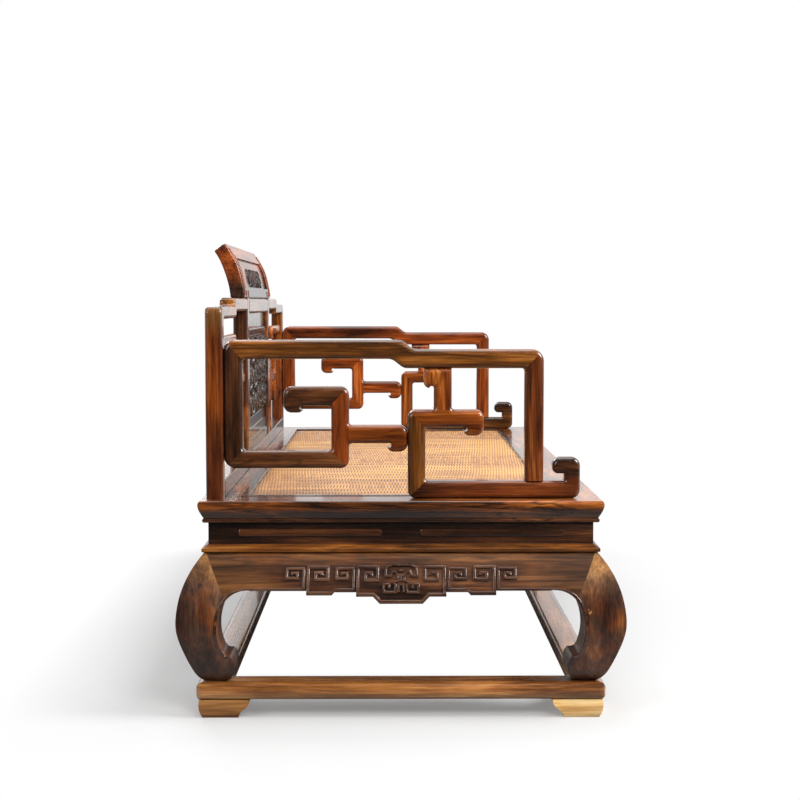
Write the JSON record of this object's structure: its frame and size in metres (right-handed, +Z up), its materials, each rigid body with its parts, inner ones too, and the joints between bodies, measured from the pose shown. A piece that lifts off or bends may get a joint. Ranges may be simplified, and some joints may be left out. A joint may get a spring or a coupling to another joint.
{
  "type": "luohan daybed",
  "caption": "Hardwood luohan daybed: caned seat on a waisted stand with drum legs and a base frame, openwork fret arms, stepped back and leaning headrest.",
  "frame": {"origin": "on the floor, below the middle of the seat", "axes": "+X along the bed, to the left of someone who sits on it; -Y to its front; +Z up"},
  "size_m": [2.1176, 1.0476, 1.1398],
  "materials": {
    "stand_wood": "waxed dark hardwood, olive brown, semi-gloss",
    "seat_wood": "waxed dark hardwood, semi-gloss",
    "base_wood": "waxed hardwood, orange brown, semi-gloss",
    "foot_wood": "raw pale wood, matt",
    "cane": "twill woven cane, satin",
    "strip_wood": "waxed dark hardwood, semi-gloss",
    "brace_wood": "planed wood, matt",
    "arm_wood": "waxed red-brown hardwood, glossy",
    "back_wood": "waxed red-brown hardwood, glossy",
    "panel_wood": "waxed near-black hardwood, satin"
  },
  "bodies": {
    "root": {"apron_back": "stand_wood", "apron_front": "stand_wood", "apron_left": "stand_wood", "apron_right": "stand_wood", "arm_left_bottom_rail": "arm_wood", "arm_left_front_post": "arm_wood", "arm_left_front_scroll": "arm_wood", "arm_left_hanger": "arm_wood", "arm_left_low_rail": "arm_wood", "arm_left_mid_scroll": "arm_wood", "arm_left_rear_scroll": "arm_wood", "arm_left_rear_stile": "arm_wood", "arm_left_top_rail": "arm_wood", "arm_right_bottom_rail": "arm_wood", "arm_right_front_post": "arm_wood", "arm_right_front_scroll": "arm_wood", "arm_right_hanger": "arm_wood", "arm_right_low_rail": "arm_wood", "arm_right_mid_scroll": "arm_wood", "arm_right_rear_scroll": "arm_wood", "arm_right_rear_stile": "arm_wood", "arm_right_top_rail": "arm_wood", "back_bottom_rail": "back_wood", "back_end_post_left": "back_wood", "back_end_post_right": "back_wood", "back_end_rails": "back_wood", "back_fret_left": "back_wood", "back_fret_right": "back_wood", "back_middle_panels": "panel_wood", "back_middle_post_left": "back_wood", "back_middle_post_right": "back_wood", "back_middle_rail": "back_wood", "back_step_rails": "back_wood", "base_rail_back": "base_wood", "base_rail_front": "base_wood", "base_rail_left": "base_wood", "base_rail_right": "base_wood", "cane_mat": "cane", "cane_strips": "strip_wood", "feet": "foot_wood", "headrest": "back_wood", "leg_back_left": "stand_wood", "leg_back_right": "stand_wood", "leg_front_left": "stand_wood", "leg_front_right": "stand_wood", "moulding_back": "stand_wood", "moulding_front": "stand_wood", "moulding_left": "stand_wood", "moulding_right": "stand_wood", "seat_braces": "brace_wood", "seat_rail_back": "seat_wood", "seat_rail_front": "seat_wood", "seat_rail_left": "seat_wood", "seat_rail_right": "seat_wood", "waist_back": "stand_wood", "waist_front": "stand_wood", "waist_left": "stand_wood", "waist_right": "stand_wood"}
  },
  "joints": []
}
